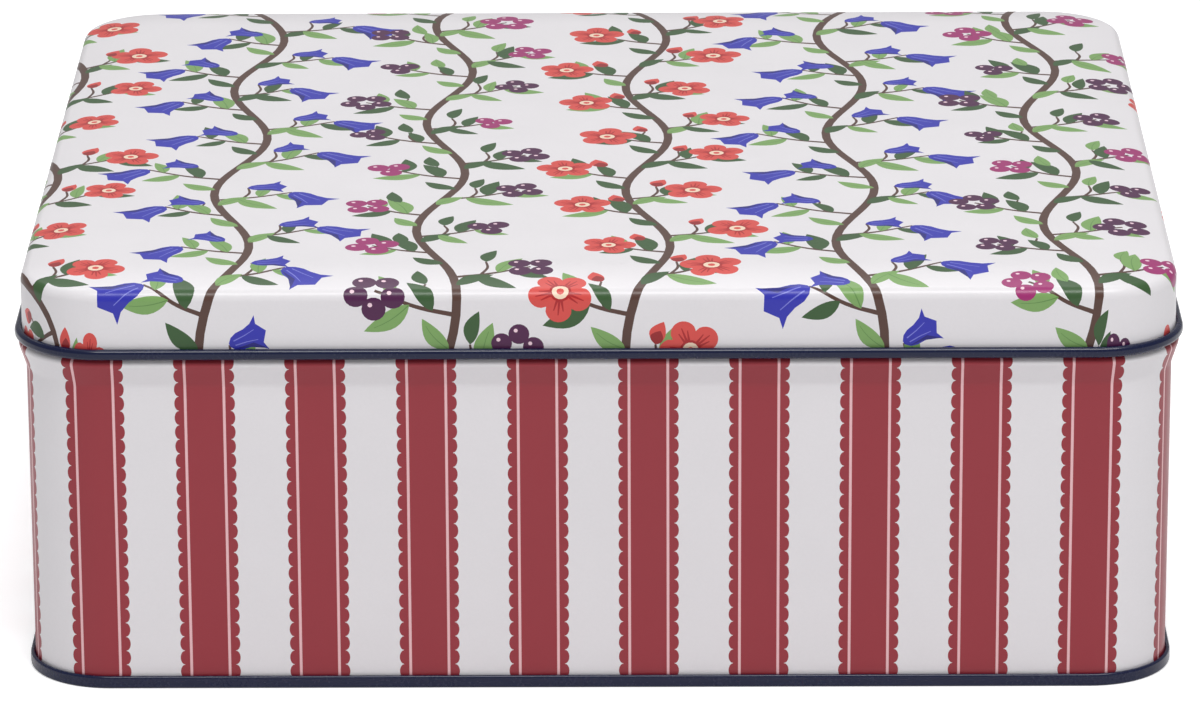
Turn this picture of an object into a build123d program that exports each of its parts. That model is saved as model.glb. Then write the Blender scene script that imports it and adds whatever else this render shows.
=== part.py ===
from build123d import *
import os
from math import radians, sin

# Rectangular tinplate box with a lift-off slip lid.
# Three pressed pieces: a body wall bent from one strip, a base panel seamed on to it,
# and a drawn lid whose skirt ends in a rolled hem.
# Millimetres, +Z up. The origin is on the ground, below the middle of the box,
# with the front wall facing -Y.

os.makedirs("parts", exist_ok=True)

# overall sizes
body_width = 255.0          # outer face to outer face of the wall, along X
body_depth = 225.5          # the same along Y
corner_radius = 18.0        # outer face of the wall, in plan
lid_top = 94.5              # flat middle of the lid, above the ground: the overall height
lid_height = 16.9           # flat middle of the lid down to the lowest point of its hem

# sheet thicknesses
body_sheet = 0.28
lid_sheet = 0.28
base_sheet = 0.32
base_inner_bend = 0.18      # inside radius of the base sheet's tight bends

# double seam that joins the base to the wall
seam_height = 2.85
seam_gap = 0.07             # play between the folded layers
hook_play = 0.12            # end of each hook to the bend that it reaches into

# base panel
countersink = 3.2           # ground to the underside of the panel
panel_bend = 0.6            # underside of the panel to the wall that stands round it
step_rise = 0.8             # stiffening step of the middle of the panel
step_corner = 6.0           # corner radius of the step, in plan
base_middle_corner = 2.0    # corner radius of the flat middle, in plan

# body wall
mouth_drop = 3.0            # lid top down to the highest point of the mouth
mouth_curl = 1.8            # outer diameter of the curled mouth
mouth_curl_turn = 250.0     # degrees
bead_play = 1.1             # lowest point of the hem down to the lid-stop bead's crest
bead_reach = 1.75           # crest before rounding, beyond the wall face
bead_below = 5.4            # height of the slope below the crest
bead_above = 1.6            # height of the slope above the crest
bead_foot_bend = 4.0
bead_crest_bend = 1.2
bead_neck_bend = 0.8

# lock seam down the middle of the rear wall
lock_seam_width = 4.5
lock_seam_layers = 3        # folded layers inside the wall
lock_seam_bottom = 6.0
lock_seam_groove = 0.1      # depth of the joint line on the outside
lock_groove_width = 0.5

# lid
lid_clearance = 0.5         # wall face to the inside of the skirt
edge_radius = 2.6           # skirt to shoulder
lid_middle_corner = 2.0     # corner radius of the flat middle, in plan
shoulder_slope = 10.0       # degrees, where the shoulder meets the edge bend
hem_height = 2.45
hem_reach = 1.65            # hem beyond the skirt's face
hem_closing = 130.0         # degrees that the hem turns back over its top

# places that follow from the sizes above; r is outward from the wall's outer face
seam_reach = 3 * seam_gap + 2 * base_sheet + body_sheet
seam_bend = (seam_reach - seam_gap) / 2
fold_bend = seam_gap + base_sheet / 2
base_bend = base_inner_bend + base_sheet
fold_level = base_sheet + body_sheet + fold_bend
body_hook_top = seam_height - seam_bend - hook_play
base_hook_end = fold_level + hook_play
step_inset = corner_radius - step_corner
panel_inset = corner_radius - base_middle_corner
hem_bottom = lid_top - lid_height
bead_height = hem_bottom - bead_play
mouth_top = lid_top - mouth_drop
curl_radius = mouth_curl / 2
skirt_face = lid_clearance + lid_sheet
hem_outer = (hem_reach + lid_sheet) / 2
hem_bend = hem_outer - lid_sheet
hem_level = hem_bottom + hem_outer
hem_straight = hem_height - 2 * hem_outer
edge_width = edge_radius * (1 - sin(radians(shoulder_slope)))
shoulder_start = lid_middle_corner - corner_radius
shoulder_radius = (skirt_face - edge_width - shoulder_start) / sin(radians(shoulder_slope))
lock_seam_top = bead_height - bead_below - bead_foot_bend / 2
lock_seam_thick = lock_seam_layers * body_sheet

# The sections are drawn where the front wall crosses the middle: local x is r, local y is height.
section_plane = Plane(origin=(0, -body_depth / 2, 0), x_dir=(0, -1, 0), z_dir=(-1, 0, 0))


def rounded_outline(inset, level):
    """A rounded rectangle parallel to the rim, inset from the wall's face, at a height."""
    with BuildSketch(Plane.XY.offset(level)) as outline:
        RectangleRounded(body_width - 2 * inset, body_depth - 2 * inset, corner_radius - inset)
    return outline.sketch


def lid_face(depth):
    """A face of the lid's sheet, depth under the printed one, drawn from the flat middle to the hem's edge."""
    shoulder = JernArc((shoulder_start, lid_top - depth), (1, 0), shoulder_radius - depth, -shoulder_slope)
    edge = JernArc(shoulder @ 1, shoulder % 1, edge_radius - depth, shoulder_slope - 90)
    skirt = Line(edge @ 1, (skirt_face - depth, hem_level))
    under = JernArc(skirt @ 1, (0, -1), hem_bend + depth, 180)
    side = Line(under @ 1, under @ 1 + Vector(0, hem_straight))
    over = JernArc(side @ 1, (0, 1), hem_bend + depth, hem_closing)
    return shoulder @ 0, over @ 1


# once round the wall's outer face at ground level, from the middle of the front
with BuildLine() as rim:
    front_middle = Vector(0, -body_depth / 2)
    place, heading = front_middle, Vector(1, 0)
    for across in (body_width / 2, body_depth - corner_radius, body_width - corner_radius, body_depth - corner_radius):
        run = Line(place, place + heading * (across - corner_radius))
        bend = JernArc(run @ 1, heading, corner_radius, 90)
        place, heading = bend @ 1, bend % 1
    Line(place, front_middle)

with BuildPart() as body_wall:
    with BuildSketch(section_plane):
        with BuildLine():
            curl = CenterArc(
                (-curl_radius, mouth_top - curl_radius), curl_radius, mouth_curl_turn, -mouth_curl_turn
            )
            wall = FilletPolyline(
                curl @ 1,
                (0, bead_height + bead_above),
                (bead_reach, bead_height),
                (0, bead_height - bead_below),
                (0, fold_level),
                radius=[bead_neck_bend, bead_crest_bend, bead_foot_bend],
            )
            fold = JernArc(wall @ 1, (0, -1), fold_bend, 180)
            Line(fold @ 1, (2 * fold_bend, body_hook_top))
            offset(amount=body_sheet, side=Side.RIGHT)
        make_face()
    sweep(path=rim.wire())
    # the lock seam's folded layers lie flat against the inside of the rear wall
    with BuildSketch(Plane.XY.offset(lock_seam_bottom)):
        with Locations((0, body_depth / 2 - body_sheet)):
            Rectangle(lock_seam_width, lock_seam_thick, align=(Align.CENTER, Align.MAX))
    extrude(amount=lock_seam_top - lock_seam_bottom)
    with BuildSketch(Plane.XY.offset(lock_seam_bottom)):
        with Locations((lock_seam_width / 2, body_depth / 2)):
            Rectangle(lock_groove_width, 2 * lock_seam_groove)
    extrude(amount=lock_seam_top - lock_seam_bottom, mode=Mode.SUBTRACT)
body_wall.part.label = "body_wall"

with BuildPart() as base_panel:
    with BuildSketch(section_plane):
        with BuildLine():
            chuck_face = -body_sheet - base_sheet
            pan = FilletPolyline(
                (-panel_inset, countersink + step_rise),
                (-step_inset - step_rise, countersink + step_rise),
                (-step_inset, countersink),
                (chuck_face, countersink),
                (chuck_face, 0),
                (seam_reach, 0),
                (seam_reach, seam_height - seam_bend),
                radius=[base_bend, base_bend, panel_bend, base_bend, base_bend],
            )
            offset(amount=base_sheet, side=Side.LEFT)
        make_face()
        with BuildLine():
            over = JernArc(pan @ 1, (0, 1), seam_bend, 180)
            under = JernArc(pan @ 1 - Vector(base_sheet, 0), (0, 1), seam_bend - base_sheet, 180)
            Line(over @ 0, under @ 0)
            Polyline(over @ 1, (seam_gap, base_hook_end), (seam_gap + base_sheet, base_hook_end), under @ 1)
        make_face()
    sweep(path=rim.wire())
    extrude(rounded_outline(panel_inset, countersink + step_rise), amount=base_sheet)
base_panel.part.label = "base_panel"

with BuildPart() as lid:
    with BuildSketch(section_plane):
        with BuildLine():
            printed = lid_face(0)
            lacquered = lid_face(lid_sheet)
            Line(printed[0], lacquered[0])
            Line(printed[1], lacquered[1])
        make_face()
    sweep(path=rim.wire())
    extrude(rounded_outline(-shoulder_start, lid_top - lid_sheet), amount=lid_sheet)
lid.part.label = "lid"

export_step(body_wall.part, "parts/body_wall.step")
export_step(base_panel.part, "parts/base_panel.step")
export_step(lid.part, "parts/lid.step")
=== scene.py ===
import math
import random

import bpy
import numpy as np
from mathutils import Matrix, Vector
from mathutils.geometry import delaunay_2d_cdt


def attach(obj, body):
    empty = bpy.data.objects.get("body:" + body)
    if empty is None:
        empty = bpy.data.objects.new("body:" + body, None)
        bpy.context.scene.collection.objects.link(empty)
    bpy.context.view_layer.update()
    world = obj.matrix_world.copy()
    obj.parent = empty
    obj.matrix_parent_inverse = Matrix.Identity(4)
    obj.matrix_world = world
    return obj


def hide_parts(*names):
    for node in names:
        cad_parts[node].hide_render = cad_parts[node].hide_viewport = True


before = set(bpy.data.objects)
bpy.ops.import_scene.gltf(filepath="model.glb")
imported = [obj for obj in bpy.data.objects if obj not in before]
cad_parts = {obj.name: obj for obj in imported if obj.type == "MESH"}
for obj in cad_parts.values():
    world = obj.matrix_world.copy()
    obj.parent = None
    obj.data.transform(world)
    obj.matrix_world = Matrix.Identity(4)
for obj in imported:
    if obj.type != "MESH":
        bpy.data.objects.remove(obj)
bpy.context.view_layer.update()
random.seed(11)

# Lengths are millimetres until a piece's mesh is made.
tin = {
    "width": 255.0,          # over the wall's outer faces
    "depth": 225.5,
    "corner": 18.0,
    "cornerSteps": 16,
    "straightSteps": 8,
    "bendStep": 11.0,        # degrees between two rows of points in a bend
}
coreHalf = np.array([tin["width"] / 2 - tin["corner"], tin["depth"] / 2 - tin["corner"]])
print("stage: frame loaded")


# sections of the pressed sheets
def unroll(start, heading, steps):
    # rows of (arc length, x, z, heading, curvature) for steps of (length, 0) or (radius, turn)
    place = complex(*start)
    angle = math.radians(heading)
    done = 0.0
    rows = []
    for size, turn in steps:
        bend = math.radians(turn)
        length = abs(bend) * size if turn else size
        curvature = bend / length if turn else 0.0
        rows.append((done, place.real, place.imag, angle, curvature))
        ahead = complex(math.cos(angle), math.sin(angle))
        if turn:
            angle += bend
            place += (complex(math.cos(angle), math.sin(angle)) - ahead) / (1j * curvature)
        else:
            place += length * ahead
        done += length
    return {"rows": np.array(rows), "length": done}


def along(path, s, side=1):
    # place and outward normal at arc lengths s: x, z, normal x, normal z
    rows = path["rows"]
    at = np.clip(np.searchsorted(rows[:, 0], s, side="right") - 1, 0, len(rows) - 1)
    done, x, z, angle, curvature = rows[at].T
    t = s - done
    ahead = np.exp(1j * angle)
    straight = np.abs(curvature) < 1e-9
    safe = np.where(straight, 1.0, curvature)
    bent = (np.exp(1j * (angle + safe * t)) - ahead) / (1j * safe)
    place = x + 1j * z + np.where(straight, t * ahead, bent)
    normal = side * 1j * np.exp(1j * (angle + curvature * t))
    return place.real, place.imag, normal.real, normal.imag


def stops(path):
    # arc lengths of the rows of points that a section needs
    rows = path["rows"]
    ends = list(rows[1:, 0]) + [path["length"]]
    found = [0.0]
    for row, end in zip(rows, ends):
        turn = math.degrees(abs(row[4]) * (end - row[0]))
        parts = max(1, math.ceil(turn / tin["bendStep"]))
        found += list(np.linspace(row[0], end, parts + 1)[1:])
    return np.array(found)


def filleted(corners, radii):
    # steps along a line of corners, each corner rounded
    steps = []
    cut = 0.0
    marks = [complex(*c) for c in corners]
    for before, here, after, radius in zip(marks, marks[1:], marks[2:], radii):
        turn = np.angle((after - here) / (here - before))
        trim = radius * math.tan(abs(turn) / 2)
        steps.append((abs(here - before) - cut - trim, 0))
        steps.append((radius, math.degrees(turn)))
        cut = trim
    steps.append((abs(marks[-1] - marks[-2]) - cut, 0))
    return steps


def beside(start, heading, steps, depth):
    # the section's other face, depth to the right of it
    right = np.exp(1j * (math.radians(heading) - math.pi / 2)) * depth
    other = [(size + depth * math.copysign(1, turn) if turn else size, turn) for size, turn in steps]
    return unroll((start[0] + right.real, start[1] + right.imag), heading, other)


# the plan that every section is swept round
def planStations():
    # core points and outward directions round the plan, from the middle of the front
    cx, cy = coreHalf
    rows = []
    corners = [((cx, -cy), -90), ((cx, cy), 0), ((-cx, cy), 90), ((-cx, -cy), 180)]
    start = np.array([0.0, -cy])
    for i, (place, first) in enumerate(corners):
        place = np.array(place)
        facing = math.radians(first)
        runs = tin["straightSteps"] // (2 if i == 0 else 1)
        for k in range(runs):
            rows.append((*(start + (place - start) * k / runs), math.cos(facing), math.sin(facing)))
        for k in range(tin["cornerSteps"]):
            angle = math.radians(first + 90 * k / tin["cornerSteps"])
            rows.append((*place, math.cos(angle), math.sin(angle)))
        start = place
    facing = math.radians(-90)
    end = np.array([0.0, -cy])
    runs = tin["straightSteps"] // 2
    for k in range(runs):
        rows.append((*(start + (end - start) * k / runs), math.cos(facing), math.sin(facing)))
    return np.array(rows)


stations = planStations()


def swept(path, marks, places, side=1):
    # points and normals of a section carried round stations: two arrays of marks x stations x 3
    r, z, nr, nz = (v[:, None] for v in along(path, marks, side))
    qx, qy, nx, ny = places.T
    reach = tin["corner"] + r
    points = np.stack([qx + nx * reach, qy + ny * reach, z + 0 * qx], -1)
    normals = np.stack([nx * nr, ny * nr, nz + 0 * qx], -1)
    return points, normals


# meshes gathered from several skins
class Skin:
    def __init__(self):
        self.points = []
        self.normals = []
        self.faces = []
        self.slots = []
        self.count = 0

    def add(self, points, normals, faces, slots):
        self.points.append(np.asarray(points, float).reshape(-1, 3))
        self.normals.append(np.asarray(normals, float).reshape(-1, 3))
        self.faces += [tuple(i + self.count for i in f) for f in faces]
        self.slots += list(slots)
        self.count += len(self.points[-1])

    def band(self, points, normals, slot, flip=False):
        # quads over a closed grid of rows x stations
        rows, across = points.shape[:2]
        faces = []
        for i in range(rows - 1):
            for j in range(across):
                k = (j + 1) % across
                face = (i * across + j, (i + 1) * across + j, (i + 1) * across + k, i * across + k)
                faces.append(face[::-1] if flip else face)
        self.add(points, normals, faces, [slot] * len(faces))

    def closing(self, first, second, slot):
        # the raw edge between the last rows of two faces
        a, b = first, second
        after = np.roll(a, -1, 0) - a
        normal = np.cross(b - a, after)
        normal /= np.linalg.norm(normal, axis=1)[:, None]
        self.band(np.stack([a, b]), np.stack([normal, normal]), slot, flip=True)

    def cap(self, ring, up, slot):
        order = range(len(ring)) if up > 0 else reversed(range(len(ring)))
        normals = np.tile((0, 0, float(up)), (len(ring), 1))
        self.add(ring, normals, [tuple(order)], [slot])

    def piece(self, name, materials):
        points = np.concatenate(self.points)
        normals = np.concatenate(self.normals)
        kept, index = np.unique(np.round(points, 3), axis=0, return_inverse=True)
        index = index.ravel().tolist()
        faces = []
        slots = []
        corners = []
        for face, slot in zip(self.faces, self.slots):
            welded = [index[i] for i in face]
            if len(set(welded)) == len(welded):
                faces.append(welded)
                slots.append(slot)
                corners += face
        mesh = bpy.data.meshes.new(name)
        mesh.from_pydata((kept * 0.001).tolist(), [], faces)
        for material in materials:
            mesh.materials.append(material)
        mesh.polygons.foreach_set("material_index", slots)
        mesh.polygons.foreach_set("use_smooth", [True] * len(faces))
        mesh.normals_split_custom_set(normals[corners].tolist())
        made = bpy.data.objects.new(name, mesh)
        bpy.context.scene.collection.objects.link(made)
        print("stage:", name, len(mesh.vertices), "points", len(mesh.polygons), "faces")
        return made


def turned(points):
    # the outline wound anticlockwise
    x, y = points[:, 0], points[:, 1]
    area = np.sum(x * np.roll(y, -1) - np.roll(x, -1) * y)
    return points if area > 0 else points[::-1]


def clipped(points, outline):
    # the part of a polygon inside a convex, anticlockwise outline
    for a, b in zip(outline, np.roll(outline, -1, 0)):
        edge = b - a
        inside = edge[0] * (points[:, 1] - a[1]) - edge[1] * (points[:, 0] - a[0])
        if inside.min() >= 0:
            continue
        if inside.max() <= 0:
            return None
        kept = []
        for i in range(len(points)):
            j = (i + 1) % len(points)
            if inside[i] >= 0:
                kept.append(points[i])
            if (inside[i] > 0) != (inside[j] > 0) and inside[i] != 0 and inside[j] != 0:
                share = inside[i] / (inside[i] - inside[j])
                kept.append(points[i] + share * (points[j] - points[i]))
        points = np.array(kept)
        if len(points) < 3:
            return None
    return points


def printed(rules, art, ground):
    # a flat blank cut along its rules and its art: points, triangles and the ink of each
    points = []
    edges = []
    faces = []
    inks = []
    for rule, closed in rules:
        first = len(points)
        points += [tuple(p) for p in rule]
        edges += [(first + i, first + i + 1) for i in range(len(rule) - 1)]
        if closed:
            edges.append((first + len(rule) - 1, first))
    for ink, shape in art:
        first = len(points)
        shape = turned(shape)
        points += [tuple(p) for p in shape]
        faces.append(list(range(first, first + len(shape))))
        inks.append(ink)
    found = delaunay_2d_cdt([Vector(p) for p in points], edges, faces, 0, 1e-5)
    corners = np.array([tuple(v) for v in found[0]])
    ground = [inks[max(f)] if f else ground for f in found[5]]
    return corners, [tuple(f) for f in found[2]], ground


# printed plants, in millimetres on the lid's flat plan
def placed(local, x, y, turn, size=1.0):
    a = math.radians(turn)
    spin = np.array([[math.cos(a), math.sin(a)], [-math.sin(a), math.cos(a)]])
    return np.asarray(local, float) * size @ spin + (x, y)


def smoothLine(marks, parts=7):
    # a smooth line through the marks
    p = np.array(marks, float)
    p = np.vstack([2 * p[0] - p[1], p, 2 * p[-1] - p[-2]])
    line = []
    for a, b, c, d in zip(p, p[1:], p[2:], p[3:]):
        for t in np.linspace(0, 1, parts, endpoint=False):
            line.append(0.5 * (2 * b + (c - a) * t + (2 * a - 5 * b + 4 * c - d) * t * t
                               + (3 * b - a - 3 * c + d) * t ** 3))
    return np.array(line + [p[-2]])


def ribbon(line, first, last):
    # a stroke along a line, its width going from first to last
    step = np.gradient(line, axis=0)
    across = np.stack([-step[:, 1], step[:, 0]], 1) / np.linalg.norm(step, axis=1)[:, None]
    half = np.linspace(first, last, len(line))[:, None] / 2
    return np.vstack([line + across * half, (line - across * half)[::-1]])


def disc(x, y, radius, points):
    a = np.linspace(0, 2 * math.pi, points, endpoint=False)
    return placed(np.stack([np.cos(a) * radius, np.sin(a) * radius], 1), x, y, 0)


def leafShape(length, width, curl=0.08):
    t = np.linspace(0, 1, 10)
    half = width / 2 * np.sin(math.pi * t ** 0.85) ** 0.9
    middle = curl * length * np.sin(math.pi * t)
    upper = np.stack([t * length, middle + half], 1)
    lower = np.stack([t * length, middle - half], 1)[1:-1]
    return np.vstack([upper, lower[::-1]])


def leaf(x, y, turn, length, width, ink, curl=0.08):
    shapes = [(ink, placed(leafShape(length, width, curl), x, y, turn))]
    if ink == "leafLight":
        t = np.linspace(0.02, 0.80, 6)
        middle = np.stack([t * length, curl * length * np.sin(math.pi * t)], 1)
        shapes.append(("leafVein", placed(ribbon(middle, width * 0.06, width * 0.03), x, y, turn)))
    return shapes


def lobes(count, depth, points=60):
    # a round outline with that many soft lobes
    a = np.linspace(0, 2 * math.pi, points, endpoint=False)
    r = 1 - depth + depth * np.abs(np.cos(count * a / 2)) ** 0.7
    return np.stack([np.cos(a) * r, np.sin(a) * r], 1)


def blossom(x, y, turn, size):
    # five round petals, their veins, and a pale eye
    shapes = [("petal", placed(lobes(5, 0.34), x, y, turn, size))]
    for k in range(5):
        for lean, reach in ((-13, 0.66), (0, 0.78), (13, 0.66)):
            vein = ribbon(np.array([(0.25, 0.0), (reach * 0.7, 0.0), (reach, 0.0)]), 0.09, 0.03)
            shapes.append(("petalDeep", placed(vein, x, y, turn + 72 * k + lean, size)))
    shapes.append(("petalDeep", disc(x, y, size * 0.34, 14)))
    shapes.append(("cream", disc(x, y, size * 0.26, 14)))
    shapes.append(("petal", disc(x, y, size * 0.12, 8)))
    return shapes


def bud(x, y, turn, size):
    shapes = [("petal", placed(leafShape(size * 1.5, size), x, y, turn)),
              ("budRed", placed(leafShape(size * 0.9, size * 0.8), x, y, turn))]
    return shapes


def bell(x, y, turn, size):
    # a bell flower: its stalk end at x, y and its mouth towards turn
    half = [(0.0, 0.05), (0.10, 0.17), (0.26, 0.24), (0.48, 0.26), (0.70, 0.33), (0.90, 0.50), (0.84, 0.27)]
    outline = half + [(1.02, 0.0)] + [(a, -b) for a, b in reversed(half)]
    shade = [(0.10, -0.15), (0.48, -0.25), (0.88, -0.46), (0.60, -0.17)]
    shapes = [("bell", placed(outline, x, y, turn, size)), ("bellDeep", placed(shade, x, y, turn, size))]
    for lean in (-0.09, 0.09):
        line = np.array([(0.14, lean * 0.7), (0.45, lean), (0.74, lean * 1.6)])
        shapes.append(("bellStreak", placed(ribbon(line, 0.030, 0.015), x, y, turn, size)))
    return shapes


def berries(x, y, turn, size):
    # a cluster of round berries, each with one point of light
    shapes = []
    count = random.choice((3, 4, 5))
    ink = random.choice(("berryMagenta", "berryPurple"))
    for k in range(count):
        reach = size * 1.15 / math.sin(math.pi / count) * 0.82
        a = math.radians(turn + 360 * k / count)
        spot = (x + reach * math.cos(a), y + reach * math.sin(a))
        shapes.append((ink, disc(*spot, size, 18)))
        shapes.append(("berryDot", disc(spot[0] - size * 0.3, spot[1] + size * 0.35, size * 0.2, 8)))
    return shapes


trails = {
    "step": 47.0,                # between neighbouring stems
    "shift": 11.0,               # of the middle stem from the lid's middle
    "sway": 5.0,                 # swing of a stem to each side
    "wave": 84.0,                # length of one swing
    "stem": 2.0,                 # thickness of a stem
    "twigEvery": 14.0,           # up a stem, to one side and the other in turn
    "twigReach": (13.0, 18.0),
    "twigRise": (5.0, 9.5),
    "leafLength": (8.5, 12.5),
    "leafWidth": (0.34, 0.42),   # share of its length
    "stemLeaf": (8.0, 10.0),
    "blossom": (6.0, 7.2),       # radius
    "bud": (3.4, 4.2),
    "bell": (11.0, 12.5),        # length, at a twig's tip
    "smallBell": (8.0, 9.0),     # and on its second shoot
    "berry": (2.3, 2.7),         # radius
    "flowers": ("blossom", "bell", "berry"),   # from stem to stem
}
leafInks = ("leafLight", "leafDark")


def twigLeaves(line, count, first, last):
    # leaves in turn on the two sides of a line, between two shares of its length
    shapes = []
    for k in range(count):
        at = int(np.interp(k, (0, max(count - 1, 1)), (first, last)) * (len(line) - 2)) + 1
        heading = line[at] - line[at - 1]
        facing = math.degrees(math.atan2(heading[1], heading[0]))
        side = 1 if k % 2 else -1
        long = random.uniform(*trails["leafLength"]) * (1 - 0.15 * k / count)
        turn = facing + side * random.uniform(38, 58)
        wide = long * random.uniform(*trails["leafWidth"])
        shapes += leaf(*line[at], turn, long, wide, random.choice(leafInks), side * 0.07)
    return shapes


def twig(x, y, side, flower):
    # one twig to a side of a stem, with its leaves, a second shoot and what grows at its tips
    reach = random.uniform(*trails["twigReach"])
    rise = random.uniform(*trails["twigRise"])
    line = smoothLine([(x, y), (x + side * reach * 0.5, y + rise * 0.35), (x + side * reach, y + rise)])
    tip = line[-1]
    shootFoot = line[len(line) // 3]
    shootTip = shootFoot + (side * random.uniform(0.0, 1.5), random.uniform(6.5, 8.5))
    shoot = smoothLine([shootFoot, (shootFoot + shootTip) / 2 + (side * 0.9, 0), shootTip])
    under = [("branch", ribbon(line, 1.1, 0.7)), ("branch", ribbon(shoot, 0.8, 0.5))]
    over = twigLeaves(line, 3, 0.30, 0.78)
    outward = 0 if side > 0 else 180
    if flower == "blossom":
        over += blossom(*tip, random.uniform(0, 72), random.uniform(*trails["blossom"]))
        over += bud(*shootTip, 90 - side * 20, random.uniform(*trails["bud"]))
    elif flower == "bell":
        over += bell(*tip, outward - side * random.uniform(30, 60), random.uniform(*trails["bell"]))
        over += bell(*shootTip, outward + side * random.uniform(5, 40), random.uniform(*trails["smallBell"]))
    else:
        over += berries(*tip, random.uniform(0, 90), random.uniform(*trails["berry"]))
        over += leaf(*shootTip, 90 - side * 15, random.uniform(7, 9), 3.4, random.choice(leafInks))
    return under, over


def lidArt(outline):
    # every shape of the print inside an outline, lowest first
    low = outline.min(0)
    high = outline.max(0)
    under = []
    over = []
    margin = trails["step"]
    firstStem = math.floor((low[0] - margin) / trails["step"])
    lastStem = math.ceil((high[0] + margin) / trails["step"])
    for column in range(firstStem, lastStem + 1):
        flower = trails["flowers"][column % len(trails["flowers"])]
        phase = random.uniform(0, 2 * math.pi)
        y = np.arange(low[1] - margin, high[1] + margin, 4.0)
        swing = np.sin(y * 2 * math.pi / trails["wave"] + phase)
        x = column * trails["step"] + trails["shift"] + trails["sway"] * swing
        stem = np.stack([x, y], 1)
        under.append(("branch", ribbon(stem, trails["stem"], trails["stem"])))
        for k, foot in enumerate(np.arange(low[1] - margin, high[1] + margin - 10, trails["twigEvery"])):
            side = 1 if k % 2 else -1
            start = stem[np.abs(y - foot).argmin()]
            below, above = twig(start[0], start[1], side, flower)
            under += below
            over += above
            between = stem[np.abs(y - foot - trails["twigEvery"] / 2).argmin()]
            facing = 90 - side * random.uniform(-58, -38)
            over += leaf(*between, facing, random.uniform(*trails["stemLeaf"]), 3.8, random.choice(leafInks))
    shapes = []
    for ink, shape in under + over:
        if (shape.max(0) < low).any() or (shape.min(0) > high).any():
            continue
        inside = clipped(turned(shape), outline)
        if inside is not None:
            shapes.append((ink, inside))
    return shapes


# finishes
def linear(rgb):
    return [((c / 255 + 0.055) / 1.055) ** 2.4 if c > 10 else c / 255 / 12.92 for c in rgb] + [1.0]


def node(tree, kind, place, **values):
    made = tree.nodes.new(kind)
    made.location = place
    for name, value in values.items():
        setattr(made, name, value)
    return made


def makeInkGroup():
    # printed ink on sheet metal: faint mottle, satin unevenness and the sheet's fine ripple
    group = bpy.data.node_groups.new("lithoInk", "ShaderNodeTree")
    face = group.interface
    face.new_socket("Ink", in_out="INPUT", socket_type="NodeSocketColor")
    for name, value in (("Mottle", 0.04), ("Roughness", 0.35), ("Ripple", 1.0)):
        socket = face.new_socket(name, in_out="INPUT", socket_type="NodeSocketFloat")
        socket.default_value = value
    face.new_socket("Color", in_out="OUTPUT", socket_type="NodeSocketColor")
    face.new_socket("Roughness", in_out="OUTPUT", socket_type="NodeSocketFloat")
    face.new_socket("Height", in_out="OUTPUT", socket_type="NodeSocketFloat")
    given = node(group, "NodeGroupInput", (-900, 0))
    out = node(group, "NodeGroupOutput", (600, 0))
    place = node(group, "ShaderNodeTexCoord", (-900, -300))
    fine = node(group, "ShaderNodeTexNoise", (-650, 150))
    fine.inputs["Scale"].default_value = 1400
    fine.inputs["Detail"].default_value = 3
    broad = node(group, "ShaderNodeTexNoise", (-650, -120))
    broad.inputs["Scale"].default_value = 60
    broad.inputs["Detail"].default_value = 4
    peel = node(group, "ShaderNodeTexNoise", (-650, -400))
    peel.inputs["Scale"].default_value = 330
    peel.inputs["Detail"].default_value = 2
    for texture in (fine, broad, peel):
        group.links.new(place.outputs["Object"], texture.inputs["Vector"])
    sway = node(group, "ShaderNodeMath", (-430, 120), operation="ADD")
    group.links.new(fine.outputs["Fac"], sway.inputs[0])
    group.links.new(broad.outputs["Fac"], sway.inputs[1])
    centre = node(group, "ShaderNodeMath", (-270, 120), operation="SUBTRACT")
    group.links.new(sway.outputs[0], centre.inputs[0])
    centre.inputs[1].default_value = 1.0
    scaled = node(group, "ShaderNodeMath", (-110, 120), operation="MULTIPLY_ADD")
    group.links.new(centre.outputs[0], scaled.inputs[0])
    group.links.new(given.outputs["Mottle"], scaled.inputs[1])
    scaled.inputs[2].default_value = 1.0
    tint = node(group, "ShaderNodeVectorMath", (80, 120), operation="SCALE")
    group.links.new(given.outputs["Ink"], tint.inputs[0])
    group.links.new(scaled.outputs[0], tint.inputs["Scale"])
    group.links.new(tint.outputs[0], out.inputs["Color"])
    rough = node(group, "ShaderNodeMath", (80, -120), operation="MULTIPLY_ADD")
    group.links.new(centre.outputs[0], rough.inputs[0])
    rough.inputs[1].default_value = 0.12
    group.links.new(given.outputs["Roughness"], rough.inputs[2])
    group.links.new(rough.outputs[0], out.inputs["Roughness"])
    height = node(group, "ShaderNodeMath", (80, -380), operation="MULTIPLY")
    group.links.new(peel.outputs["Fac"], height.inputs[0])
    group.links.new(given.outputs["Ripple"], height.inputs[1])
    group.links.new(height.outputs[0], out.inputs["Height"])
    return group


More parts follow.
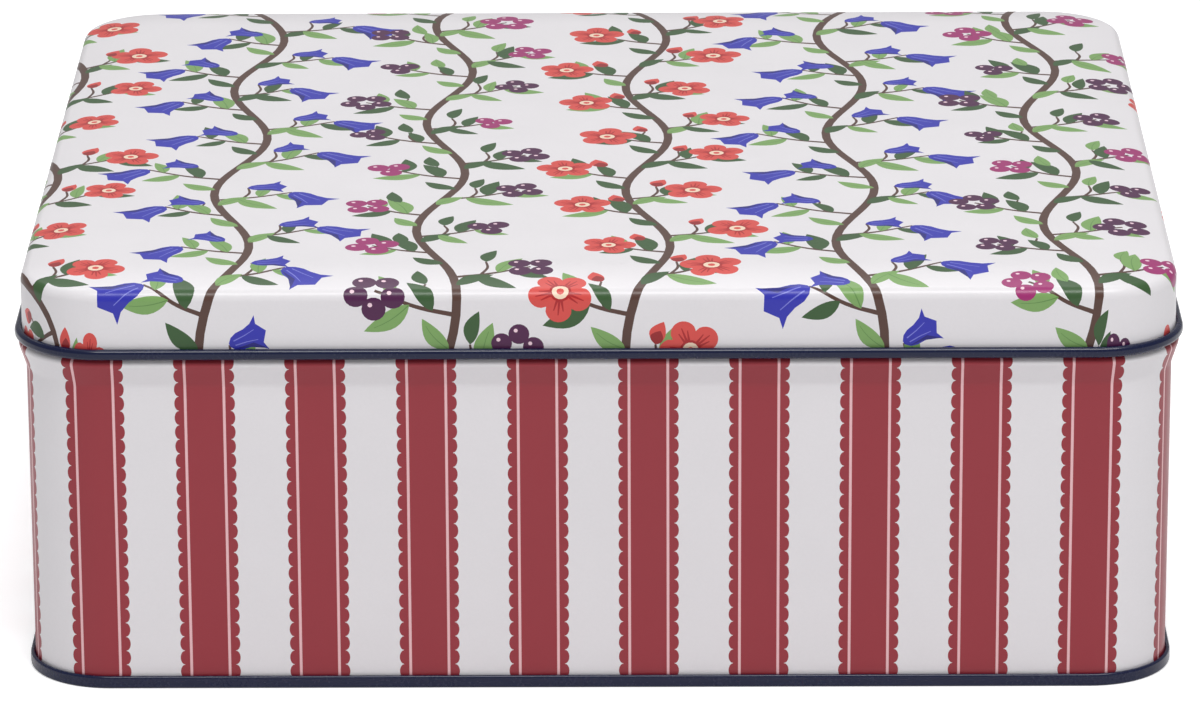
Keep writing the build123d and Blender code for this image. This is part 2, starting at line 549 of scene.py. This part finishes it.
def makeTinGroup():
    # bare tinplate: rolled grain along one way, with soft blotches
    group = bpy.data.node_groups.new("bareTin", "ShaderNodeTree")
    face = group.interface
    face.new_socket("Metal", in_out="INPUT", socket_type="NodeSocketColor")
    for name, value in (("Grain", 0.10), ("Roughness", 0.34)):
        socket = face.new_socket(name, in_out="INPUT", socket_type="NodeSocketFloat")
        socket.default_value = value
    face.new_socket("Color", in_out="OUTPUT", socket_type="NodeSocketColor")
    face.new_socket("Roughness", in_out="OUTPUT", socket_type="NodeSocketFloat")
    face.new_socket("Height", in_out="OUTPUT", socket_type="NodeSocketFloat")
    given = node(group, "NodeGroupInput", (-900, 0))
    out = node(group, "NodeGroupOutput", (600, 0))
    place = node(group, "ShaderNodeTexCoord", (-900, -300))
    stretch = node(group, "ShaderNodeMapping", (-740, -300))
    stretch.inputs["Scale"].default_value = (1.0, 1.0, 26.0)
    group.links.new(place.outputs["Object"], stretch.inputs["Vector"])
    grain = node(group, "ShaderNodeTexNoise", (-550, 100))
    grain.inputs["Scale"].default_value = 90
    grain.inputs["Detail"].default_value = 5
    group.links.new(stretch.outputs[0], grain.inputs["Vector"])
    blotch = node(group, "ShaderNodeTexVoronoi", (-550, -250))
    blotch.inputs["Scale"].default_value = 120
    group.links.new(place.outputs["Object"], blotch.inputs["Vector"])
    mixed = node(group, "ShaderNodeMath", (-330, 0), operation="MULTIPLY_ADD")
    group.links.new(blotch.outputs["Distance"], mixed.inputs[0])
    mixed.inputs[1].default_value = 0.35
    group.links.new(grain.outputs["Fac"], mixed.inputs[2])
    centre = node(group, "ShaderNodeMath", (-170, 0), operation="SUBTRACT")
    group.links.new(mixed.outputs[0], centre.inputs[0])
    centre.inputs[1].default_value = 0.65
    scaled = node(group, "ShaderNodeMath", (-10, 120), operation="MULTIPLY_ADD")
    group.links.new(centre.outputs[0], scaled.inputs[0])
    group.links.new(given.outputs["Grain"], scaled.inputs[1])
    scaled.inputs[2].default_value = 1.0
    tint = node(group, "ShaderNodeVectorMath", (160, 120), operation="SCALE")
    group.links.new(given.outputs["Metal"], tint.inputs[0])
    group.links.new(scaled.outputs[0], tint.inputs["Scale"])
    group.links.new(tint.outputs[0], out.inputs["Color"])
    rough = node(group, "ShaderNodeMath", (160, -120), operation="MULTIPLY_ADD")
    group.links.new(centre.outputs[0], rough.inputs[0])
    rough.inputs[1].default_value = 0.20
    group.links.new(given.outputs["Roughness"], rough.inputs[2])
    group.links.new(rough.outputs[0], out.inputs["Roughness"])
    group.links.new(grain.outputs["Fac"], out.inputs["Height"])
    return group


inkGroup = makeInkGroup()
tinGroup = makeTinGroup()


def makeMaterial(name, group, colour, bump, settings, constants):
    # a material around a shared group: settings go to the group, constants to the shader
    material = bpy.data.materials.new(name)
    material.use_nodes = True
    tree = material.node_tree
    tree.nodes.clear()
    shader = node(tree, "ShaderNodeBsdfPrincipled", (200, 0))
    result = node(tree, "ShaderNodeOutputMaterial", (500, 0))
    tree.links.new(shader.outputs[0], result.inputs["Surface"])
    pattern = node(tree, "ShaderNodeGroup", (-250, 0), node_tree=group)
    pattern.inputs[0].default_value = linear(colour)
    for socket, value in settings.items():
        pattern.inputs[socket].default_value = value
    relief = node(tree, "ShaderNodeBump", (-20, -250))
    relief.inputs["Strength"].default_value = 1.0
    relief.inputs["Distance"].default_value = bump
    tree.links.new(pattern.outputs["Color"], shader.inputs["Base Color"])
    tree.links.new(pattern.outputs["Roughness"], shader.inputs["Roughness"])
    tree.links.new(pattern.outputs["Height"], relief.inputs["Height"])
    tree.links.new(relief.outputs[0], shader.inputs["Normal"])
    for socket, value in constants.items():
        shader.inputs[socket].default_value = value
    return material


inks = {
    "white": (228, 225, 228),
    "petal": (214, 78, 72),
    "petalDeep": (172, 36, 40),
    "budRed": (150, 34, 38),
    "cream": (240, 214, 190),
    "bell": (48, 50, 172),
    "bellDeep": (30, 28, 122),
    "bellStreak": (120, 124, 210),
    "berryMagenta": (158, 44, 110),
    "berryPurple": (78, 28, 72),
    "berryDot": (240, 208, 220),
    "leafLight": (124, 164, 96),
    "leafDark": (58, 90, 52),
    "leafVein": (96, 138, 76),
    "branch": (86, 60, 52),
    "stripeRed": (150, 48, 58),
    "stripeLine": (232, 186, 190),
}
lacquer = {"Specular IOR Level": 0.3, "Coat Weight": 0.25, "Coat Roughness": 0.22, "Coat IOR": 1.4}
inkSlots = {}
for inkName, inkColour in inks.items():
    inkSlots[inkName] = makeMaterial(
        inkName, inkGroup, inkColour, 0.00004, {"Mottle": 0.04, "Roughness": 0.36, "Ripple": 1.0}, lacquer)
navyLacquer = makeMaterial(
    "navyLacquer", inkGroup, (6, 17, 54), 0.00003, {"Mottle": 0.12, "Roughness": 0.26, "Ripple": 1.0},
    {"Specular IOR Level": 0.3, "Coat Weight": 0.3, "Coat Roughness": 0.10, "Coat IOR": 1.45})
bareTinplate = makeMaterial(
    "bareTinplate", tinGroup, (208, 208, 206), 0.00002, {"Grain": 0.12, "Roughness": 0.42},
    {"Metallic": 1.0, "Specular IOR Level": 0.5})
print("stage: finishes made")


# lid
lidSizes = {
    "top": 94.5,
    "sheet": 0.28,
    "flatInset": 16.0,       # wall's face back to the flat middle
    "slope": 10.0,           # degrees that the shoulder falls before the edge
    "edge": 2.6,
    "skirt": 0.78,           # printed face outside the wall's
    "hemLevel": 78.565,
    "hemBend": 0.685,
    "hemStraight": 0.52,
    "hemClosing": 130.0,
}


def makeLid():
    s = lidSizes
    slope = math.radians(s["slope"])
    edgeWidth = s["edge"] * (1 - math.sin(slope))
    shoulder = (s["flatInset"] + s["skirt"] - edgeWidth) / math.sin(slope)
    edgeFoot = s["top"] - shoulder * (1 - math.cos(slope)) - s["edge"] * math.cos(slope)
    start = (-s["flatInset"], s["top"])
    steps = [
        (shoulder, -s["slope"]),
        (s["edge"], s["slope"] - 90),
        (edgeFoot - s["hemLevel"], 0),
        (s["hemBend"], 180),
        (s["hemStraight"], 0),
        (s["hemBend"], s["hemClosing"]),
    ]
    outer = unroll(start, 0, steps)
    inner = beside(start, 0, steps, s["sheet"])
    flat = tin["corner"] - s["flatInset"]
    marks = stops(outer)
    shoulderStops = list(np.linspace(0, outer["rows"][1, 0], 6)[1:-1])
    marks = np.array(sorted(set(np.round(list(marks) + shoulderStops, 6))))
    marks[-1] = outer["length"]
    q = stations[:, :2]
    n = stations[:, 2:]
    rings = [(q + n * (flat + m), True) for m in marks]
    cuts = [(np.array([q[i] + n[i] * (flat + m) for m in marks]), False) for i in range(len(q))]
    skirtFoot = outer["rows"][3, 0] - 0.02
    outline = q + n * (flat + skirtFoot)
    keep = np.linalg.norm(outline - np.roll(outline, 1, 0), axis=1) > 1e-6
    art = lidArt(outline[keep])
    print("stage: lid print", len(art), "shapes")
    points, faces, inkNames = printed(rings + cuts, art, "white")
    core = np.clip(points, -coreHalf, coreHalf)
    gap = points - core
    far = np.linalg.norm(gap, axis=1)
    away = gap / np.maximum(far, 1e-9)[:, None]
    a = np.clip(far - flat, 0, outer["length"])
    r, z, nr, nz = along(outer, a)
    reach = (tin["corner"] + r)[:, None]
    onFlat = (far <= flat)[:, None]
    plan = np.where(onFlat, points, core + away * reach)
    place = np.column_stack([plan, np.where(onFlat[:, 0], s["top"], z)])
    normal = np.where(onFlat, (0, 0, 1), np.column_stack([away * nr[:, None], nz]))
    names = sorted(set(inkNames))
    slotOf = {name: i for i, name in enumerate(names)}
    navy = len(names)
    skin = Skin()
    skin.add(place, normal, faces, [slotOf[i] for i in inkNames])
    innerMarks = stops(inner)
    innerPoints, innerNormals = swept(inner, innerMarks, stations, -1)
    skin.band(innerPoints, innerNormals, navy, flip=True)
    skin.cap(innerPoints[0], -1, navy)
    outerEnd, _ = swept(outer, np.array([outer["length"]]), stations)
    skin.closing(outerEnd[0], innerPoints[-1], navy)
    return skin.piece("printed_lid", [inkSlots[i] for i in names] + [navyLacquer])


lid = makeLid()
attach(lid, "lid")
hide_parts("lid")


# body
bodySizes = {
    "sheet": 0.28,
    "mouth": (-0.9, 90.6),   # the mouth curl's centre
    "mouthBend": 0.9,
    "mouthTurn": 250.0,
    "wall": [(0, 90.6), (0, 78.1), (1.75, 76.5), (0, 71.1), (0, 0.83)],
    "bends": [0.8, 1.2, 4.0],
    "fold": 0.23,
    "hookRise": 1.37,
    "lockWidth": 4.5,
    "lockThick": 0.84,
    "lockFoot": 6.0,
    "lockHead": 69.1,
    "grooveWidth": 0.5,
    "grooveDepth": 0.1,
}
stripes = {
    "count": 38,
    "centre": 11.0,          # the stripe to the right of the front's middle
    "half": 6.70,            # middle of a stripe to its scallops' tips
    "notch": 1.05,
    "scallop": 3.33,
    "lineAt": 4.28,
    "lineWidth": 0.6,
    "foot": 2.0,
    "head": 88.6,
}


def rimPlace(u):
    # core points and outward directions at distances u round the wall from the middle of the front
    cx, cy = coreHalf
    bend = tin["corner"] * math.pi / 2
    runs = [cx, bend, 2 * cy, bend, 2 * cx, bend, 2 * cy, bend, cx]
    ends = np.cumsum(runs)
    u = np.mod(u, ends[-1])
    at = np.clip(np.searchsorted(ends, u, side="right"), 0, 8)
    t = u - np.concatenate([[0], ends])[at]
    startX = np.array([0, cx, cx, cx, cx, -cx, -cx, -cx, -cx])[at]
    startY = np.array([-cy, -cy, -cy, cy, cy, cy, cy, -cy, -cy])[at]
    stepX = np.array([1, 0, 0, 0, -1, 0, 0, 0, 1])[at]
    stepY = np.array([0, 0, 1, 0, 0, 0, -1, 0, 0])[at]
    facing = np.radians(np.array([-90, -90, 0, 0, 90, 90, 180, 180, 270]))[at]
    facing = facing + np.where(at % 2 == 1, t / tin["corner"], 0)
    return np.stack([startX + stepX * t, startY + stepY * t, np.cos(facing), np.sin(facing)], -1)


def rimMarks():
    # distances round the wall where its rows of points stand, from the rear middle
    cx, cy = coreHalf
    bend = tin["corner"] * math.pi / 2
    found = []
    start = 0.0
    for i, run in enumerate([cx, bend, 2 * cy, bend, cx]):
        parts = tin["cornerSteps"] if i % 2 else tin["straightSteps"] // (1 if i == 2 else 2)
        found += [start + run * k / parts for k in range(parts)]
        start += run
    found.append(start)
    return np.array([-u for u in reversed(found[1:])] + found)


def stripeArt(levelOf):
    # scalloped stripes and their fine lines, as outlines of distance round and along the sheet
    s = stripes
    shapes = []
    whole = 2 * (coreHalf[0] * 2 + coreHalf[1] * 2) + 2 * math.pi * tin["corner"]
    pitch = whole / s["count"]
    rows = int((s["head"] - s["foot"]) / s["scallop"])
    step = (s["head"] - s["foot"]) / rows
    edge = []
    for k in range(rows):
        for share in (0.0, 0.05, 0.14, 0.26, 0.38, 0.5, 0.62, 0.74, 0.86, 0.95):
            bulge = math.sqrt(max(0.0, 1 - (2 * share - 1) ** 2))
            edge.append((s["half"] - s["notch"] * (1 - bulge), s["foot"] + (k + share) * step))
    edge.append((s["half"] - s["notch"], s["head"]))
    edge = np.array(edge)
    for k in range(-(s["count"] // 2), s["count"] // 2):
        middle = s["centre"] + k * pitch
        right = np.column_stack([middle + edge[:, 0], levelOf(edge[:, 1])])
        left = np.column_stack([middle - edge[:, 0], levelOf(edge[:, 1])])
        shapes.append(("stripeRed", np.vstack([right, left[::-1]])))
        for side in (-1, 1):
            near = middle + side * s["lineAt"] - s["lineWidth"] / 2
            levels = levelOf(np.array([s["foot"], s["head"]]))
            far = near + s["lineWidth"]
            box = [(near, levels[0]), (far, levels[0]), (far, levels[1]), (near, levels[1])]
            shapes.append(("stripeLine", np.array(box)))
    return shapes, whole


def makeBody():
    s = bodySizes
    centre = s["mouth"]
    first = math.radians(s["mouthTurn"])
    start = (centre[0] + s["mouthBend"] * math.cos(first), centre[1] + s["mouthBend"] * math.sin(first))
    heading = s["mouthTurn"] - 90
    steps = [(s["mouthBend"], -s["mouthTurn"])] + filleted(s["wall"], s["bends"])
    steps += [(s["fold"], 180), (s["hookRise"], 0)]
    outer = unroll(start, heading, steps)
    inner = beside(start, heading, steps, s["sheet"])
    marks = stops(outer)
    fine = np.linspace(0, outer["length"], 4000)
    wallZ = along(outer, fine)[1]
    down = (fine > outer["rows"][1, 0]) & (fine < outer["rows"][8, 0])

    def levelOf(z):
        return np.interp(-z, -wallZ[down], fine[down])

    art, whole = stripeArt(levelOf)
    half = whole / 2
    roundMarks = rimMarks()
    groove = half - s["lockWidth"] / 2
    grooveMarks = [groove - s["grooveWidth"] / 2, groove, groove + s["grooveWidth"] / 2]
    rules = [(np.array([(u, m) for u in roundMarks]), False) for m in marks]
    rules += [(np.array([(u, m) for m in marks]), False) for u in roundMarks]
    grooveSpan = levelOf(np.array([s["lockHead"], s["lockHead"] - 0.3, s["lockFoot"] + 0.3, s["lockFoot"]]))
    rules += [(np.array([(u, m) for m in grooveSpan]), False) for u in grooveMarks]
    points, faces, inkNames = printed(rules, art, "white")
    u, a = points.T
    r, z, nr, nz = along(outer, np.clip(a, 0, outer["length"]))
    share = np.clip(1 - np.abs(u - groove) / (s["grooveWidth"] / 2), 0, 1)
    share *= (a > grooveSpan[0] + 1e-6) & (a < grooveSpan[3] - 1e-6)
    r = r - s["grooveDepth"] * share
    qx, qy, nx, ny = rimPlace(u).T
    reach = tin["corner"] + r
    place = np.stack([qx + nx * reach, qy + ny * reach, z], -1)
    normal = np.stack([nx * nr, ny * nr, nz], -1)
    names = sorted(set(inkNames))
    slotOf = {name: i for i, name in enumerate(names)}
    bare = len(names)
    skin = Skin()
    # the blank's level grows downwards, so its faces turn over
    skin.add(place, normal, [f[::-1] for f in faces], [slotOf[i] for i in inkNames])
    rounds = rimPlace(roundMarks[:-1])
    innerPoints, innerNormals = swept(inner, stops(inner), rounds, -1)
    skin.band(innerPoints, innerNormals, bare, flip=True)
    outerEnds, _ = swept(outer, np.array([0, outer["length"]]), rounds)
    skin.closing(outerEnds[1], innerPoints[-1], bare)
    skin.closing(innerPoints[0], outerEnds[0], bare)
    lockSeam(skin, bare)
    return skin.piece("striped_body", [inkSlots[i] for i in names] + [bareTinplate])


def lockSeam(skin, slot):
    # the folded joint, a flat bar against the inside of the rear wall
    s = bodySizes
    back = tin["depth"] / 2 - s["sheet"] + 0.05
    front = back - s["lockThick"] - 0.05
    half = s["lockWidth"] / 2
    soft = 0.25
    ring = []
    for x, y, first in ((half - soft, front + soft, 270), (half - soft, back - soft, 0),
                        (soft - half, back - soft, 90), (soft - half, front + soft, 180)):
        for k in range(5):
            angle = math.radians(first + 22.5 * k)
            ring.append((x, y, math.cos(angle), math.sin(angle)))
    ring = np.array(ring)
    x, y, nx, ny = ring.T
    chamfer = 0.15
    foot = s["lockFoot"]
    head = s["lockHead"]
    levels = [(foot, chamfer), (foot + chamfer, 0), (head - chamfer, 0), (head, chamfer)]
    rows = []
    for z, inset in levels:
        rows.append(np.stack([x + nx * (soft - inset), y + ny * (soft - inset), 0 * x + z], -1))
    points = np.stack(rows)
    normals = np.stack([np.stack([nx, ny, 0 * x], -1)] * len(levels))
    skin.band(points, normals, slot, flip=True)
    skin.cap(points[0], -1, slot)
    skin.cap(points[-1], 1, slot)


body = makeBody()
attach(body, "box")
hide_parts("body_wall")


# base
baseSizes = {
    "sheet": 0.32,
    "pan": [(-16, 4.0), (-12.8, 4.0), (-12, 3.2), (-0.6, 3.2), (-0.6, 0), (1.13, 0), (1.13, 2.32)],
    "bends": [0.5, 0.5, 0.6, 0.5, 0.5],
    "seamBend": 0.53,
    "hookDrop": 1.37,
}


def makeBase():
    s = baseSizes
    steps = filleted(s["pan"], s["bends"]) + [(s["seamBend"], 180), (s["hookDrop"], 0)]
    outer = unroll(s["pan"][0], 0, steps)
    inner = beside(s["pan"][0], 0, steps, -s["sheet"])
    skin = Skin()
    outerPoints, outerNormals = swept(outer, stops(outer), stations, -1)
    innerPoints, innerNormals = swept(inner, stops(inner), stations, 1)
    skin.band(outerPoints, outerNormals, 0, flip=True)
    skin.cap(outerPoints[0], -1, 0)
    skin.band(innerPoints, innerNormals, 1)
    skin.cap(innerPoints[0], 1, 1)
    skin.closing(innerPoints[-1], outerPoints[-1], 0)
    return skin.piece("navy_base", [navyLacquer, bareTinplate])


base = makeBase()
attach(base, "box")
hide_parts("base_panel")


# floor, light and camera
studio = {
    "floor": (244, 244, 245),
    "floorGlow": 0.40,       # what the camera alone sees added
    "world": 0.34,
    "aim": (0, 0, 0.05),
    # place, width, depth and watts of each softbox
    "softboxes": {
        "topSoftbox": ((0, 0.35, 1.3), 1.6, 1.2, 3.0),
        "frontSoftbox": ((0.2, -0.75, 1.6), 1.3, 0.5, 20.5),
        "rearSoftbox": ((-0.3, 1.2, 1.5), 1.3, 0.7, 5.0),
    },
    "floorHalf": 6.0,
}


def makeFloor():
    size = studio["floorHalf"]
    mesh = bpy.data.meshes.new("studio_floor")
    corners = [(-size, -size, 0), (size, -size, 0), (size, size, 0), (-size, size, 0)]
    mesh.from_pydata(corners, [], [(0, 1, 2, 3)])
    floor = bpy.data.objects.new("studio_floor", mesh)
    bpy.context.scene.collection.objects.link(floor)
    material = makeMaterial(
        "studioFloor", inkGroup, studio["floor"], 0.00002, {"Mottle": 0.01, "Roughness": 0.8, "Ripple": 0.2},
        {"Specular IOR Level": 0.1, "Emission Color": (1, 1, 1, 1)})
    tree = material.node_tree
    path = node(tree, "ShaderNodeLightPath", (-300, -500))
    glow = node(tree, "ShaderNodeMath", (-50, -500), operation="MULTIPLY")
    tree.links.new(path.outputs["Is Camera Ray"], glow.inputs[0])
    glow.inputs[1].default_value = studio["floorGlow"]
    shader = next(n for n in tree.nodes if n.type == "BSDF_PRINCIPLED")
    tree.links.new(glow.outputs[0], shader.inputs["Emission Strength"])
    mesh.materials.append(material)


def makeLight(name, place, width, height, power):
    light = bpy.data.lights.new(name, "AREA")
    light.shape = "RECTANGLE"
    light.size = width
    light.size_y = height
    light.energy = power
    made = bpy.data.objects.new(name, light)
    made.location = place
    made.rotation_euler = (Vector(studio["aim"]) - Vector(place)).to_track_quat("-Z", "Y").to_euler()
    bpy.context.scene.collection.objects.link(made)


makeFloor()
for lightName, (lightPlace, lightWidth, lightHeight, lightPower) in studio["softboxes"].items():
    makeLight(lightName, lightPlace, lightWidth, lightHeight, lightPower)
world = bpy.data.worlds.new("studioAir")
bpy.context.scene.world = world
world.use_nodes = True
world.node_tree.nodes["Background"].inputs["Color"].default_value = (1, 1, 1, 1)
world.node_tree.nodes["Background"].inputs["Strength"].default_value = studio["world"]
bpy.context.scene.view_settings.view_transform = "Standard"
bpy.context.scene.view_settings.look = "None"

lens = {
    "length": 207.2,         # focal length, on a 36 mm wide sensor
    "sensor": 36,
    "elevation": 18.54,      # degrees above the level
    "yaw": -0.31,
    "roll": -0.26,
    "aim": (-0.24, 0.0, 39.5),
    "distance": 1639.0,      # from the aim
    "reach": 50,             # metres that the camera sees
}


def makeCamera():
    tilt = math.radians(lens["elevation"])
    roll = math.radians(lens["roll"])
    back = Matrix.Rotation(-math.radians(lens["yaw"]), 3, "Z")
    ahead = back @ Vector((0, math.cos(tilt), -math.sin(tilt)))
    level = back @ Vector((1, 0, 0))
    rise = back @ Vector((0, math.sin(tilt), math.cos(tilt)))
    right = level * math.cos(roll) + rise * math.sin(roll)
    up = rise * math.cos(roll) - level * math.sin(roll)
    place = (back @ Vector(lens["aim"]) - ahead * lens["distance"]) * 0.001
    data = bpy.data.cameras.new("camera")
    data.lens = lens["length"]
    data.sensor_width = lens["sensor"]
    data.clip_end = lens["reach"]
    made = bpy.data.objects.new("camera", data)
    turn = Matrix((right, up, -ahead)).transposed()
    made.matrix_world = Matrix.Translation(place) @ turn.to_4x4()
    bpy.context.scene.collection.objects.link(made)
    bpy.context.scene.camera = made


makeCamera()
print("stage: floor, light and camera set")
